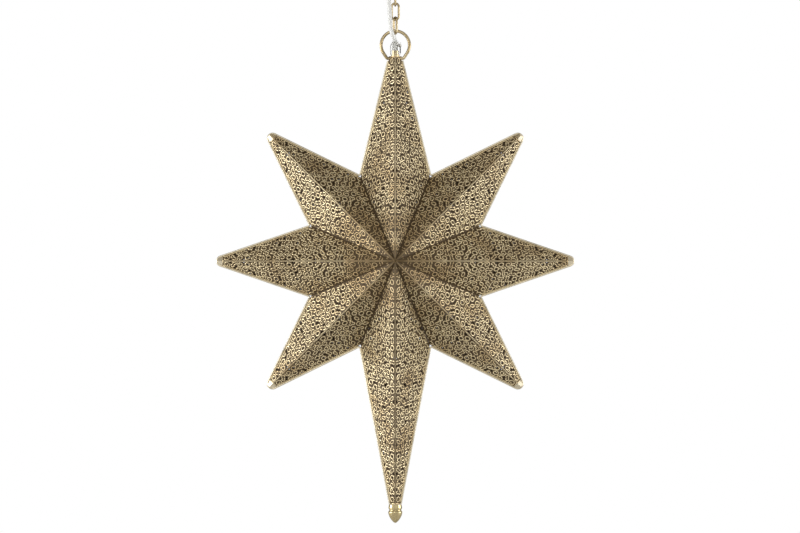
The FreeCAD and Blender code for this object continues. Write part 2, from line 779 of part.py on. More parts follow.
def ceiling_cup():
    """Spun cup that hides the strap and the terminals, with holes for the nipple and the cord."""
    r, w = cup_d / 2, cup_wall

    def bowl(radius, floor, corner):
        body = Part.makeCylinder(radius, cup_depth, Vec(0, 0, floor))
        return body.makeFillet(corner, [e for e in body.Edges if abs(e.BoundBox.ZMax - floor) < 1e-6])

    cup = bowl(r, cup_floor, cup_round).cut(bowl(r - w, cup_floor + w, cup_round - w))
    cup = cup.cut(rod(stem_d + 2 * nipple_hole_fit, cup_floor - 1, cup_floor + 3))
    return cup.cut(rod(bushing_neck_d, cup_floor - 1, cup_floor + 3, *cord_hole))


def ceiling_strap():
    """Steel strap with joggled ends: the ends lie on the ceiling, the middle carries the nipple."""
    half, t, drop = strap_length / 2, strap_t, strap_offset
    inner = slot_spacing / 2 - slot_length / 2 - 3
    foot = inner - strap_joggle
    side = [(-half, 0), (-inner, 0), (-foot, -drop), (foot, -drop), (inner, 0), (half, 0)]
    lower = [(x, z - t) for x, z in reversed(side)]
    corners = [Vec(x, -strap_width / 2, z) for x, z in side + lower]
    strap = Part.Face(Part.makePolygon(corners + corners[:1])).extrude(Vec(0, strap_width, 0))
    strap = strap.cut(rod(stem_d + 2 * nipple_hole_fit, -20, 1))
    for x in (-slot_spacing / 2, slot_spacing / 2):
        run = (slot_length - slot_width) / 2
        slot = Part.makeBox(2 * run, slot_width, 20, Vec(x - run, -slot_width / 2, -15))
        ends = [rod(slot_width, -15, 5, x + s * run) for s in (-1, 1)]
        strap = strap.cut(slot.fuse(ends))
    return strap


def strap_nuts():
    """Thin hexagon nuts on the nipple, over and under the strap."""
    corners = [on_face(60 * n, strap_nut_d / 2 / math.cos(math.pi / 6)) for n in range(7)]
    nuts = []
    for low in (-strap_offset + seat_gap, -strap_offset - strap_t - strap_nut_t - seat_gap):
        hexagon = Part.Face(Part.makePolygon([Vec(c.x, c.z, low) for c in corners]))
        nuts.append(hexagon.extrude(Vec(0, 0, strap_nut_t)).cut(rod(stem_d + 2 * seat_gap, -40, 1)))
    return Part.makeCompound(nuts)


def ceiling_nipple():
    return tube(stem_d, stem_bore, neck_bottom + 3, nipple_top)


def collar_ring():
    """Knurled ring under the cup, screwed on the neck of the loop."""
    low = cup_floor - collar_height - seat_gap
    ring = tube(collar_d, neck_d + 2 * seat_gap, low, cup_floor - seat_gap)
    flutes = [on_face(360 * n / collar_flutes, collar_d / 2 + 0.5) for n in range(collar_flutes)]
    return ring.cut([rod(2.4, low - 1, cup_floor + 1, spot.x, spot.z) for spot in flutes])


def ceiling_loop():
    """Loop with a threaded neck on the nipple; the chain hangs in it."""
    body = turned([(0, neck_bottom), (5, neck_bottom), (neck_d / 2, neck_bottom + 3),
                   (neck_d / 2, cup_floor - 2 * seat_gap), (0, cup_floor - 2 * seat_gap)])
    body = body.cut(rod(stem_d + 2 * seat_gap, neck_bottom + 3 - seat_gap, 0))
    loop = Part.makeTorus(loop_mean_r, loop_wire_d / 2, Vec(0, 0, loop_centre), Vec(1, 0, 0))
    return body.fuse(loop).removeSplitter()


def cord_bushing():
    """Flanged plastic bushing in the cup, round the cord."""
    bore = cord_d + 2 * bushing_bore_fit
    outer_r, flange_r = bushing_neck_d / 2 - seat_gap, bushing_flange_d / 2
    low, seat, high = cup_floor - 1.6, cup_floor - seat_gap, cup_floor + cup_wall + 2.0
    bush = turned([(bore / 2, low), (flange_r - 0.6, low), (flange_r, cup_floor - 1), (flange_r, seat),
                   (outer_r, seat), (outer_r, high), (bore / 2, high)])
    bush.translate(Vec(cord_hole[0], cord_hole[1], 0))
    return bush


def terminal_block():
    """Three-way terminal block on the strap's underside, with its wire holes."""
    length, width, height = terminal_size
    top = -strap_offset - strap_t - seat_gap
    block = Part.makeBox(length, width, height, Vec(terminal_x, -width / 2, top - height))
    for n in range(3):
        x = terminal_x + length * (n + 0.5) / 3
        way = Part.makeCylinder(1.8, width + 2, Vec(x, -width / 2 - 1, top - height * 0.6), Vec(0, 1, 0))
        block = block.cut(way)
        block = block.cut(rod(3.0, top - height - 1, top - height * 0.6, x))
    return block


# --- cord -----------------------------------------------------------------------------------------------


def cord_route():
    """Points of the supply cord, chosen by hand, from the ceiling cup down to the lampholder."""
    x, y = cord_hole
    grip = star_z + grip_top
    return [
        Vec(x, y, cup_floor + 10),
        Vec(x, y, cup_floor - 12),
        Vec(-13.2, -6.5, cup_floor - 32),
        Vec(-8.6, -6.0, cup_floor - 51),
        Vec(-7.0, -5.7, cup_floor - 70),
        Vec(-6.2, -5.6, ring_top + 6),
        Vec(-4.4, -5.5, ring_top - 3.2),
        Vec(-0.6, -1.2, grip + 3.2),
        Vec(0, 0, grip - 1.2),
        Vec(0, 0, star_z + holder_top - 5),
    ]


def supply_cord():
    """Round cord of one thickness along its route; it prints each bend's radius and the tube's volume."""
    points = cord_route()
    radii = []
    for before, corner, after in zip(points, points[1:], points[2:]):
        turn = (corner - before).getAngle(after - corner)
        shorter = min((corner - before).Length, (after - corner).Length)
        radii.append(0.45 * shorter / math.tan(turn / 2))
    print("cord radii, mm:", [round(r, 1) for r in radii])
    path = rounded_path(points, radii)
    cord = wire_along(path, cord_d)
    expected = math.pi * cord_d**2 / 4 * path_length(path)
    print("cord volume over section times length:", round(cord.Volume / expected, 4))
    return cord


# --- all pieces -------------------------------------------------------------------------------------------

point_names = {
    0: "right", 45: "upper_right", 90: "top", 135: "upper_left",
    180: "left", 225: "lower_left", 270: "bottom", 315: "lower_right",
}
point_ends = {90: head_top - seat_gap, 270: foot_bottom - seat_gap}

short_sheet = point_sheet(short_apex_r, nose_start() - seat_gap)
pivot_way = rod(2 * (pin_boss_r + seat_gap), -head_width, head_width, head_top - pin_drop)
top_sheet = point_sheet(top_apex_r, point_ends[90]).cut(pivot_way)
bottom_sheet = point_sheet(bottom_apex_r, point_ends[270])
for angle, name in point_names.items():
    front = turned_to({90: top_sheet, 270: bottom_sheet}.get(angle, short_sheet), angle)
    save(f"front_sheet_{name}", hung(front))
    if angle:
        save(f"back_sheet_{name}", hung(to_back(front)))

save("access_door", hung(access_door()))
save("door_knob", hung(door_knob()))
save("door_hinge_fixed", hung(hinge_fixed()))
save("door_hinge_moving", hung(hinge_moving()))
save("door_hinge_pins", hung(hinge_pins()))
save("rim_frame", hung(rim_frame()))
save("star_head", hung(star_head()))
save("star_foot", hung(star_foot()))
save("finial", hung(finial()))
save("finial_stud", hung(finial_stud()))
save("hanging_ring", hung(hanging_ring()))
save("stem_tube", hung(stem_tube()))
save("stem_nut", hung(stem_nut()))
save("cord_grip", hung(cord_grip()))
save("grip_screw", hung(grip_screw()))
save("lampholder_cap", hung(holder_cap()))
save("lampholder_shell", hung(holder_shell()))
save("lampholder_sleeve", hung(holder_sleeve()))
save("lampholder_contact", hung(holder_contact()))
save("bulb_cap", hung(bulb_cap()))
save("bulb_glass", hung(bulb_glass()))

for n in range(link_count):
    # links alternate between facing the front and standing edge-on; the last one hangs twisted
    from_last = link_count - 1 - n
    angle = 90 + last_link_twist if from_last == 0 else 90 * ((from_last + 1) % 2)
    save(f"chain_link_{n + 1}", chain_link(link_top[n], angle))

save("ceiling_cup", ceiling_cup())
save("ceiling_strap", ceiling_strap())
save("strap_nuts", strap_nuts())
save("ceiling_nipple", ceiling_nipple())
save("collar_ring", collar_ring())
save("ceiling_loop", ceiling_loop())
save("cord_bushing", cord_bushing())
save("terminal_block", terminal_block())
save("supply_cord", supply_cord())
print("star centre at z =", round(star_z, 2), "lowest point", round(star_z - foot_bottom - finial_height, 2))
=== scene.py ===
import bpy, math, random
from mathutils import Matrix, Vector, kdtree


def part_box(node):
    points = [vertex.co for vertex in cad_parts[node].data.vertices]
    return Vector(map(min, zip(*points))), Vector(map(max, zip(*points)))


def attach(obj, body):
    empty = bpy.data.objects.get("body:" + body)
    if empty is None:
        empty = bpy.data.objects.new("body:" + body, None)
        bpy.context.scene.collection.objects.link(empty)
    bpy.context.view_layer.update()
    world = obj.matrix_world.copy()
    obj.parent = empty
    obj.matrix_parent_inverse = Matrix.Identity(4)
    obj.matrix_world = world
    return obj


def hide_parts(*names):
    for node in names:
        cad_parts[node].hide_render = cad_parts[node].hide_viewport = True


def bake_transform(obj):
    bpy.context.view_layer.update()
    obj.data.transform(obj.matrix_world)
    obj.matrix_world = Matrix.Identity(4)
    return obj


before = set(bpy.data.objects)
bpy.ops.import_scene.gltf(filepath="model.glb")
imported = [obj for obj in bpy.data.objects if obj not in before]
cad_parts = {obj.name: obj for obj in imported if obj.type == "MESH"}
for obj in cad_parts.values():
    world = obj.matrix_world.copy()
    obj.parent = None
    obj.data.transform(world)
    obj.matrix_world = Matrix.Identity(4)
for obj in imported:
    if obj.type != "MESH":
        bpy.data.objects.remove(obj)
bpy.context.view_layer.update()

# --- view -----------------------------------------------------------------------------------------
# A long lens square to the front of the star, as in the photograph, which is 800 x 533. The room is white
# at the sides, warmer and dimmer between them and dark behind, with a bright screen in front, a pale floor
# far below, and a white backdrop that the camera and the reflections see.
star_centre = Vector((0, 0, -0.41446))
seen_width = 1.016  # across the picture, at the star
aim_x, aim_z = 0.006, -0.0069  # the picture's middle, from the star's centre
lens, sensor = 150, 36

camera = bpy.data.objects.new("camera", bpy.data.cameras.new("camera"))
bpy.context.collection.objects.link(camera)
camera.data.lens, camera.data.sensor_width = lens, sensor
camera.location = star_centre + Vector((aim_x, -seen_width * lens / sensor, aim_z))
camera.rotation_euler = (math.pi / 2, 0, 0)
camera.data.clip_end = 100
bpy.context.scene.camera = camera
bpy.context.scene.view_settings.view_transform = "Standard"


def add_node(tree, kind, inputs=(), **settings):
    """A shader node with its settings and its inputs: numbers and colours, or sockets to link."""
    made = tree.nodes.new(kind)
    for name, value in settings.items():
        setattr(made, name, value)
    for key, value in dict(inputs).items():
        if isinstance(value, bpy.types.NodeSocket):
            tree.links.new(value, made.inputs[key])
        else:
            made.inputs[key].default_value = value
    return made


def grey(tone):
    return (tone, tone, tone)


def ramp(tree, factor, *stops):
    """Colours along a factor, each stop a place and a colour."""
    made = add_node(tree, "ShaderNodeValToRGB", {"Fac": factor})
    band = made.color_ramp
    while len(band.elements) < len(stops):
        band.elements.new(0.5)
    for element, (place, colour) in zip(band.elements, stops):
        element.position, element.color = place, (*colour, 1)
    return made.outputs["Color"]


def calculate(tree, operation, first, second=0.0):
    """The result of a math node on two numbers or sockets."""
    return add_node(tree, "ShaderNodeMath", {0: first, 1: second}, operation=operation).outputs[0]


def mix_colours(tree, factor, first, second):
    """From the first colour, a socket, to the second as the factor goes from 0 to 1."""
    factor_in, first_in, second_in, colour_out = 0, 6, 7, 2  # a mix node's places for colours
    inputs = {factor_in: factor, first_in: first, second_in: (*second, 1)}
    return add_node(tree, "ShaderNodeMix", inputs, data_type="RGBA").outputs[colour_out]


def light_room():
    world = bpy.data.worlds.new("room")
    bpy.context.scene.world = world
    world.use_nodes = True
    tree = world.node_tree
    tree.nodes.clear()
    direction = add_node(tree, "ShaderNodeTexCoord").outputs["Generated"]
    x, y, z = add_node(tree, "ShaderNodeSeparateXYZ", {0: direction}).outputs
    black, white = grey(0), grey(1)

    warm, less_warm, side_wall = (0.52, 0.49, 0.44), (0.52, 0.50, 0.46), grey(0.84)
    walls = ramp(tree, calculate(tree, "ABSOLUTE", x), (0.0, warm), (0.45, less_warm), (0.85, side_wall))

    screen_low, screen_full = -0.35, -0.1  # it fades in between these heights
    ahead = calculate(tree, "MULTIPLY", y, -1.0)
    high = add_node(tree, "ShaderNodeMapRange", {0: z, 1: screen_low, 2: screen_full}).outputs[0]
    screen = calculate(tree, "MULTIPLY", ramp(tree, ahead, (0.55, black), (0.8, white)), high)
    walls = mix_colours(tree, screen, walls, grey(0.95))
    walls = mix_colours(tree, ramp(tree, y, (0.2, black), (0.4, white)), walls, grey(0.12))

    behind = ramp(tree, y, (0.62, black), (0.82, white))
    path = add_node(tree, "ShaderNodeLightPath").outputs
    bounced = calculate(tree, "MAXIMUM", path["Is Glossy Ray"], path["Is Transmission Ray"])
    bounced = calculate(tree, "MULTIPLY", bounced, behind)
    seen = calculate(tree, "MAXIMUM", path["Is Camera Ray"], bounced)
    room = add_node(tree, "ShaderNodeBackground", {"Color": walls, "Strength": 1.0})
    backdrop = add_node(tree, "ShaderNodeBackground", {"Color": (1, 1, 1, 1), "Strength": 1.0})
    mixed = add_node(tree, "ShaderNodeMixShader", {0: seen, 1: room.outputs[0], 2: backdrop.outputs[0]})
    add_node(tree, "ShaderNodeOutputWorld", {0: mixed.outputs[0]})


light_room()


def softbox(name, place, width, height, power):
    """A soft light that points at the star; its place is from the star's centre."""
    data = bpy.data.lights.new(name, "AREA")
    data.shape, data.size, data.size_y, data.energy = "RECTANGLE", width, height, power
    lamp = bpy.data.objects.new(name, data)
    bpy.context.collection.objects.link(lamp)
    lamp.location = star_centre + Vector(place)
    lamp.rotation_euler = (-Vector(place)).to_track_quat("-Z", "Y").to_euler()
    lamp.visible_camera = False


softbox("left_softbox", (-2.0, -0.3, 0.0), 1.6, 1.3, 32)
softbox("right_softbox", (2.0, -0.3, 0.0), 1.6, 1.1, 21)
softbox("front_softbox", (-0.8, -3.0, 1.6), 1.2, 1.2, 9)

floor_drop, floor_side = 0.85, 3.0  # under the star's centre; half of its width
floor = bpy.data.objects.new("floor", bpy.data.meshes.new("floor"))
quarters = [(-1, -1), (1, -1), (1, 1), (-1, 1)]
floor_corners = [(x * floor_side, y * floor_side, star_centre.z - floor_drop) for x, y in quarters]
floor.data.from_pydata(floor_corners, [], [(0, 1, 2, 3)])
bpy.context.collection.objects.link(floor)


def finish_material(name, build):
    """A node material; build(tree, shader) adds its colours and relief."""
    made = bpy.data.materials.new(name)
    made.use_nodes = True
    tree = made.node_tree
    build(tree, tree.nodes["Principled BSDF"])
    return made


def noise(tree, scale, detail=3.0):
    """A noise factor in the object's own metres, scale in lumps for each metre."""
    place = add_node(tree, "ShaderNodeTexCoord").outputs["Object"]
    inputs = {"Vector": place, "Scale": scale, "Detail": detail}
    return add_node(tree, "ShaderNodeTexNoise", inputs).outputs["Fac"]


def feed(tree, shader, socket, factor, *stops):
    """Colours along a factor, into one of the shader's sockets."""
    tree.links.new(ramp(tree, factor, *stops), shader.inputs[socket])


def bump(tree, shader, height, strength=0.2):
    """A fine skin on a surface."""
    skin_depth = 0.0002
    inputs = {"Height": height, "Strength": strength, "Distance": skin_depth}
    tree.links.new(add_node(tree, "ShaderNodeBump", inputs).outputs[0], shader.inputs["Normal"])


def pale_floor(tree, shader):
    feed(tree, shader, "Base Color", noise(tree, 3),
         (0.35, (0.82, 0.82, 0.81)), (0.65, (0.86, 0.86, 0.85)))
    shader.inputs["Roughness"].default_value = 0.8


floor.data.materials.append(finish_material("pale_floor", pale_floor))

# --- supply cord ----------------------------------------------------------------------------------
# Round cord: a white core in a clear jacket. It leaves the bushing in the ceiling cup, hangs beside the
# chain and goes through the grip and the stem to the lampholder, so it is held at both ends.
cord_points = [
    (-0.0175, -0.0065, -0.018), (-0.0175, -0.0065, -0.04), (-0.0132, -0.0065, -0.06),
    (-0.0086, -0.006, -0.079), (-0.007, -0.0057, -0.098), (-0.0062, -0.0056, -0.11625),
    (-0.0044, -0.0055, -0.12545), (-0.0006, -0.0012, -0.13245), (0, 0, -0.13685), (0, 0, -0.32345),
]
cord_d, core_d = 0.0054, 0.0042
cord_step = 0.0012


def centre_line(points):
    """Points read from one smooth spline that has the given points as its control points."""
    data = bpy.data.curves.new("line", "CURVE")
    data.dimensions, data.resolution_u = "3D", 16
    spline = data.splines.new("NURBS")
    spline.points.add(len(points) - 1)
    for point, place in zip(spline.points, points):
        point.co = (*place, 1)
    spline.order_u, spline.use_endpoint_u = 3, True
    carrier = bpy.data.objects.new("line", data)
    bpy.context.collection.objects.link(carrier)
    shaped = carrier.evaluated_get(bpy.context.evaluated_depsgraph_get())
    mesh = bpy.data.meshes.new_from_object(shaped)
    places = [v.co.copy() for v in mesh.vertices]
    bpy.data.objects.remove(carrier)
    bpy.data.meshes.remove(mesh)
    return places


def even_steps(places, step):
    """The same line at equal steps."""
    out, to_go = [places[0]], step
    for a, b in zip(places, places[1:]):
        length, at = (b - a).length, 0.0
        while length - at >= to_go:
            at += to_go
            out.append(a.lerp(b, at / length))
            to_go = step
        to_go -= length - at
    return out


def smooth_piece(name, verts, faces):
    mesh = bpy.data.meshes.new(name)
    mesh.from_pydata([tuple(v) for v in verts], [], faces)
    mesh.polygons.foreach_set("use_smooth", [True] * len(mesh.polygons))
    piece = bpy.data.objects.new(name, mesh)
    bpy.context.collection.objects.link(piece)
    return piece


def round_bar(name, places, d, caps, sides=14):
    """A round bar along a line; caps says which of its two ends are closed."""
    verts, faces, across = [], [], None
    last = len(places) - 1
    for n, place in enumerate(places):
        along = (places[min(n + 1, last)] - places[max(n - 1, 0)]).normalized()
        if across is None:
            across = along.orthogonal().normalized()
        across = (across - along * across.dot(along)).normalized()
        other = along.cross(across)
        for k in range(sides):
            a = 2 * math.pi * k / sides
            verts.append(place + (across * math.cos(a) + other * math.sin(a)) * d / 2)
    for n in range(last):
        here, there = n * sides, (n + 1) * sides
        faces += [(here + k, here + (k + 1) % sides, there + (k + 1) % sides, there + k)
                  for k in range(sides)]
    if caps[0]:
        faces.append(tuple(range(sides))[::-1])
    if caps[1]:
        faces.append(tuple(last * sides + k for k in range(sides)))
    return smooth_piece(name, verts, faces)


def clear_plastic(through, bend):
    """Soft clear plastic: how much light goes through it, and how strongly it bends."""
    def build(tree, shader):
        haze = noise(tree, 240)
        feed(tree, shader, "Base Color", haze, (0.3, (0.90, 0.90, 0.88)), (0.7, (0.96, 0.96, 0.94)))
        feed(tree, shader, "Roughness", haze, (0.3, grey(0.05)), (0.7, grey(0.10)))
        shader.inputs["Transmission Weight"].default_value = through
        shader.inputs["IOR"].default_value = bend
    return build


def core_cover(tree, shader):
    feed(tree, shader, "Base Color", noise(tree, 500), (0.3, (0.84, 0.84, 0.82)), (0.7, (0.9, 0.9, 0.88)))
    shader.inputs["Roughness"].default_value = 0.4


def middle(node):
    low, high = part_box(node)
    return (low[2] + high[2]) / 2


jacket = finish_material("cord_jacket", clear_plastic(0.45, 1.33))
cover = finish_material("core_cover", core_cover)
chain = ["chain_link_1", "chain_link_2", "chain_link_3", "chain_link_4"]

# each span crosses one joint: the bodies above and below it, its ends, and the joint's height
links = ["ceiling_fitting"] + chain + ["ring", "star"]
in_ring, below_cord, pivot_z = -0.1245, -1.0, -0.130
ends = [0.0] + [middle(name) for name in chain] + [in_ring, below_cord]
line = even_steps(centre_line(cord_points), cord_step)
last_span = len(links) - 2

for base, d, material in (("cord_jacket", cord_d, jacket), ("cord_core", core_d, cover)):
    for n, (above, below) in enumerate(zip(links, links[1:])):
        part = [k for k, place in enumerate(line) if ends[n] >= place.z > ends[n + 1]]
        first, last = part[0], min(part[-1] + 1, len(line) - 1)
        # a cap inside the clear jacket would show, so only its outer ends are closed
        solid = base == "cord_core"
        caps = (solid or n == 0, solid or n == last_span)
        piece = round_bar(f"{base}_{n + 1}", line[first:last + 1], d, caps)
        piece.data.materials.append(material)
        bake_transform(piece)
        if base == "cord_jacket" and n == 0:
            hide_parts("supply_cord")

# --- ceiling fitting ------------------------------------------------------------------------------
# Spun brass cup over a steel strap, held by a threaded nipple with nuts, a fluted collar ring and a loop.
# The cup, ring and loop have the star's antique finish; strap, nuts and nipple are plated steel.


def antique_brass(worn=0.5):
    """Brass with a brown patina that is rubbed back to bright metal, the more so the more worn."""
    def build(tree, shader):
        cloud, fine = noise(tree, 45, 5), noise(tree, 960, 4)
        feed(tree, shader, "Base Color", calculate(tree, "MULTIPLY", cloud, fine),
             (0.08, (0.10, 0.075, 0.038)), (0.30 - 0.1 * worn, (0.38, 0.29, 0.155)),
             (0.55 - 0.2 * worn, (0.66, 0.55, 0.345)))
        dull = 0.30 - 0.12 * worn
        feed(tree, shader, "Roughness", cloud, (0.3, grey(dull)), (0.7, grey(dull + 0.14)))
        shader.inputs["Metallic"].default_value = 1.0
        bump(tree, shader, fine)
    return build


def plated_steel(tree, shader):
    tone = noise(tree, 90, 4)
    feed(tree, shader, "Base Color", tone, (0.3, (0.50, 0.49, 0.46)), (0.7, (0.66, 0.65, 0.62)))
    feed(tree, shader, "Roughness", tone, (0.3, grey(0.25)), (0.7, grey(0.4)))
    shader.inputs["Metallic"].default_value = 1.0


def moulded(name, dark, light):
    """A moulded plastic with a faint change of tone and a fine skin."""
    def build(tree, shader):
        tone = noise(tree, 300)
        feed(tree, shader, "Base Color", tone, (0.3, dark), (0.7, light))
        shader.inputs["Roughness"].default_value = 0.4
        bump(tree, shader, tone, 0.15)
    return finish_material(name, build)


def dress(material, *nodes):
    """Gives carried-over pieces their finish."""
    for name in nodes:
        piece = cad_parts[name]
        for slot in piece.material_slots:
            slot.link = "OBJECT"
            slot.material = material


brass = finish_material("antique_brass", antique_brass())
rubbed = finish_material("rubbed_brass", antique_brass(worn=1.0))
steel = finish_material("plated_steel", plated_steel)
dress(brass, "ceiling_cup", "collar_ring", "ceiling_loop")
dress(steel, "ceiling_strap", "strap_nuts", "ceiling_nipple")
dress(moulded("black_bushing", grey(0.012), grey(0.03)), "cord_bushing")
dress(moulded("white_terminal", (0.7, 0.69, 0.66), (0.8, 0.79, 0.76)), "terminal_block")

# --- chain, ring and head -------------------------------------------------------------------------
# Welded oval links, the sprung wire ring, the cast head of the star and its stem, in antique brass that
# is rubbed brighter than the cup's. The cord grip is clear plastic with a steel screw.
dress(rubbed, *chain, "hanging_ring", "star_head", "stem_tube", "stem_nut")
dress(finish_material("clear_grip", clear_plastic(1.0, 1.38)), "cord_grip")
dress(steel, "grip_screw")

# --- pierced sheets -------------------------------------------------------------------------------
# Each point is a brass sheet folded on its ridge, stamped and pierced all over with small scrolls between
# plain borders. The scrolls are raised and rubbed bright. The hollows and the ground that closes most
# piercings are brown patina with painted shade, and painted shade darkens the sheets towards the star's
# centre.
corner_r, peak_depth, sheet_t = 0.1172, 0.075, 0.0007
half_sector = math.pi / 8
corner = Vector((corner_r * math.cos(half_sector), 0, corner_r * math.sin(half_sector)))
peak = Vector((0, -peak_depth, 0))
ridge_border, valley_border, rim_border, end_border = 0.0023, 0.0011, 0.0026, 0.0012
rim_seat = 0.00135  # the sheet begins this far inside the outline, beside the rim wire
fold_lap = 0.00032  # the ground runs this far past the valley, where it meets the next sheet's
pivot_hole_r = 0.0022  # the notch for the ring's end
web_top = -0.00048  # the hollows between the strokes
border_top = -0.0001


class Facet:
    """One flat half of a point along +X: places on it are (along the ridge, across it)."""

    def __init__(self, apex, end, seed, pivot, opening_room):
        self.seed, self.pivot, self.opening_room = seed, pivot, opening_room
        ridge, rest = Vector((apex, 0, 0)) - peak, corner - peak
        self.along = ridge.normalized()
        self.across = (rest - self.along * rest.dot(self.along)).normalized()
        self.outward = self.along.cross(self.across)
        if self.outward.y > 0:
            self.outward = -self.outward
        self.length = ridge.length
        self.end, self.last = end, self.length * end / apex
        self.corner = (rest.dot(self.along), rest.dot(self.across))

    def distances(self, s, h):
        """How far inside the ridge, the valley, the rim and the cut end, and clear of the pivot hole."""
        cs, ch = self.corner
        rim_run = self.length - cs
        valley = (s * ch - h * cs) / math.hypot(cs, ch)
        rim = ((self.length - s) * ch - h * rim_run) / math.hypot(rim_run, ch)
        clear = 1.0
        if self.pivot:
            place = self.point(s, h)
            clear = math.hypot(place.x - self.pivot, place.y) - pivot_hole_r
        return h, valley, rim, self.end - self.along.x * s - self.across.x * h, clear

    def point(self, s, h, out=0.0):
        return peak + self.along * s + self.across * h + self.outward * out


def motif_strokes(kind, spin, hand):
    """One motif as arcs (centre x, y, first and last radius, first and last angle); 1 is half the pitch."""
    a, third_turn = math.radians(spin), 2.094
    x, y = math.cos(a), math.sin(a)
    if kind == "ring":
        return [(0, 0, 0.64, 0.64, 0, 360)]
    if kind == "curl":
        return [(0, 0, 0.92, 0.30, spin, spin + hand * 440), (0, 0, 0.92, 1.15, spin, spin - hand * 40)]
    if kind == "leaf":
        return [(0.55 * x, 0.55 * y, 0.95, 0.95, spin + 120, spin + 240),
                (-0.55 * x, -0.55 * y, 0.95, 0.95, spin - 60, spin + 60)]
    if kind == "pair":
        return [(sign * 0.5 * x, sign * 0.5 * y, 0.40, 0.46, spin + turn - 150, spin + turn + 150)
                for sign, turn in ((1, 0), (-1, 180))]
    return [(0.54 * math.cos(a + k * third_turn), 0.54 * math.sin(a + k * third_turn), 0.37, 0.37,
             120 * k + spin - 150, 120 * k + spin + 150) for k in range(3)]


def arc_path(stroke, x, y, scale):
    """Places along one arc of a motif whose middle is at x, y."""
    longest_step = 0.00115
    cx, cy, r0, r1, a0, a1 = stroke
    run = abs(r1 - r0) * scale + abs(math.radians(a1 - a0)) * (r0 + r1) / 2 * scale
    steps = max(3, int(run / longest_step) + 1)
    path = []
    for k in range(steps + 1):
        t = k / steps
        r, a = (r0 + (r1 - r0) * t) * scale, math.radians(a0 + (a1 - a0) * t)
        path.append((x + cx * scale + r * math.cos(a), y + cy * scale + r * math.sin(a)))
    return path


def inside_parts(path, inside):
    """The lengths of a path that pass a test."""
    parts, run = [], []
    for place in path + [None]:
        if place and inside(place):
            run.append(place)
        else:
            if len(run) > 2:
                parts.append(run)
            run = []
    return parts


def facet_paths(facet):
    """All scroll strokes of a facet, cut where the plain borders begin."""
    rng = random.Random(facet.seed)
    kinds = ["curl", "ring", "leaf", "curl", "trefoil", "pair"]
    filler = (0.56, 0.98, 0.10, 0.10, 0, 330)  # a small eye between the motifs
    pitch, stray = 0.0094, 0.0004
    row_step, first_row = pitch * 0.87, 0.46
    ridge_lap, edge_lap, pivot_gap = 0.0004, 0.0003, 0.0006
    paths = []

    def inside(place):
        ridge, valley, rim, end, clear = facet.distances(*place)
        return (ridge > ridge_border - ridge_lap and valley > valley_border - edge_lap
                and rim > rim_border - edge_lap and end > end_border and clear > pivot_gap)

    for row in range(int(facet.corner[1] / row_step) + 2):
        for n in range(int(facet.length / pitch) + 2):
            x = (n + 0.5 * (row % 2)) * pitch + rng.uniform(-1, 1) * stray
            y = ridge_border + (row + first_row) * row_step + rng.uniform(-1, 1) * stray
            kind = kinds[(n * 2 + row * 3 + rng.randrange(2)) % len(kinds)]
            scale = pitch / 2 * rng.uniform(0.98, 1.06)
            strokes = motif_strokes(kind, rng.randrange(8) * 45, rng.choice((-1, 1)))
            for stroke in strokes + [filler]:
                paths += inside_parts(arc_path(stroke, x, y, scale), inside)
    return paths


